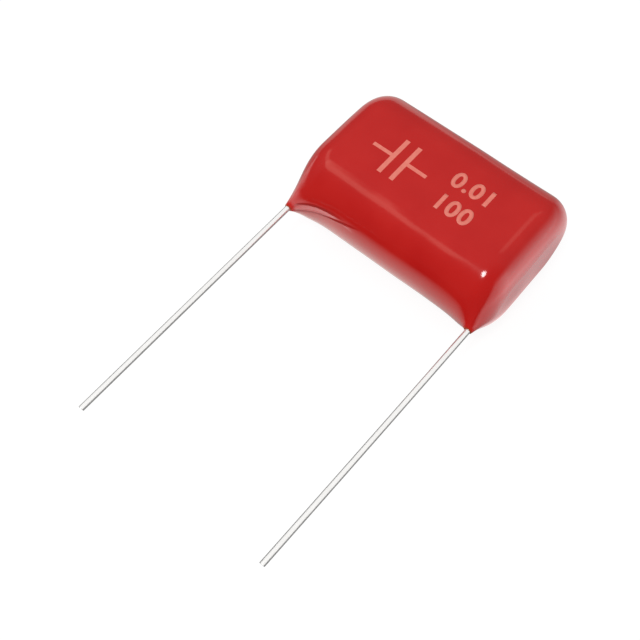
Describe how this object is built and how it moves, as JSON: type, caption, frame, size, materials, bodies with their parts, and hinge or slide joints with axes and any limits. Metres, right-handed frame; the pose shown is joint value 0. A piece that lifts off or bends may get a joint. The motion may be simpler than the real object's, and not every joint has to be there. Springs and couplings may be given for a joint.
{
  "type": "dipped film capacitor",
  "caption": "Film capacitor with a pressed oval body dipped in glossy red epoxy and straight tinned wire leads that leave one long side, for through-hole mounting.",
  "frame": {"origin": "centre of the broad back face that the body lies on", "axes": "+X from the left lead to the right lead, -Y along the leads to their cut ends, +Z through the thickness to the printed face"},
  "size_m": [0.0248, 0.0468, 0.0105],
  "materials": {
    "red_epoxy": "glossy dipped epoxy",
    "metallised_film": "silvery wound film",
    "plain_film": "clear film, slightly yellow",
    "sprayed_metal": "matt grey flame-sprayed zinc and tin",
    "tinned_wire": "bright tinned, drawn"
  },
  "bodies": {
    "root": {"coat": "red_epoxy", "winding": "metallised_film", "outer_wrap": "plain_film", "end_spray_left": "sprayed_metal", "end_spray_right": "sprayed_metal", "lead_left": "tinned_wire", "lead_right": "tinned_wire"}
  },
  "joints": []
}
